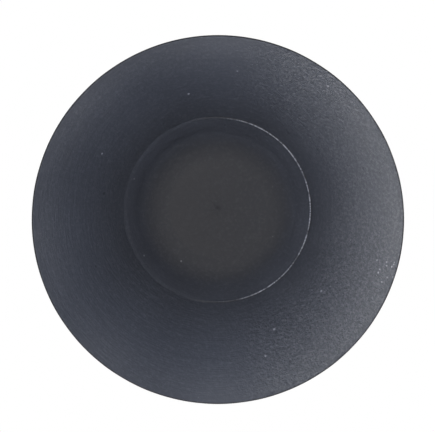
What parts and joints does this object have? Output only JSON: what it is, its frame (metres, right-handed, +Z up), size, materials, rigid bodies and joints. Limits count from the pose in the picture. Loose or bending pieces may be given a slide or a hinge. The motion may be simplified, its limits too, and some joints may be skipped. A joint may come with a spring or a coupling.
{
  "type": "sink plunger",
  "caption": "Flared rubber force cup on a short turned wooden handle, which screws into a threaded bush moulded in the crown of the cup.",
  "frame": {"origin": "centre of the mouth of the cup, in the plane of the lip that the plunger stands on", "axes": "+Z up along the cup and the handle; the hanging hole through the end of the handle runs along Y"},
  "size_m": [0.125, 0.125, 0.314],
  "materials": {
    "rubber": "matt moulded black rubber with faint circular tool marks",
    "zinc_steel": "bright zinc plate, lightly tarnished",
    "ferrule_steel": "spun steel, turned sheen",
    "brass": "turned brass",
    "beech": "turned beech under thin satin lacquer"
  },
  "bodies": {
    "cup": {"force_cup": "rubber"},
    "crown": {"thrust_plate": "zinc_steel", "insert_bush": "brass"},
    "washer": {"washer": "zinc_steel"},
    "handle": {"hanger_bolt": "zinc_steel", "ferrule": "ferrule_steel", "ferrule_pins": "ferrule_steel", "handle": "beech"}
  },
  "joints": [
    {"name": "plunge", "type": "slide", "parent": "cup", "child": "crown", "axis": [0, 0, 1], "range_m": [-0.018, 0], "stiffness_N_per_m": 2500, "springref_m": 0.001, "deforming": ["force_cup"]},
    {"name": "thread_lift", "type": "slide", "parent": "crown", "child": "washer", "axis": [0, 0, 1], "range_m": [0, 0.018]},
    {"name": "handle_spin", "type": "hinge", "parent": "washer", "child": "handle", "pos_m": [0, 0, 0.076], "axis": [0, 0, 1], "range_deg": [0, 4321]}
  ],
  "couplings": [
    {"joint": "handle_spin", "follows": "thread_lift", "rad_per_m": 4188.8}
  ]
}
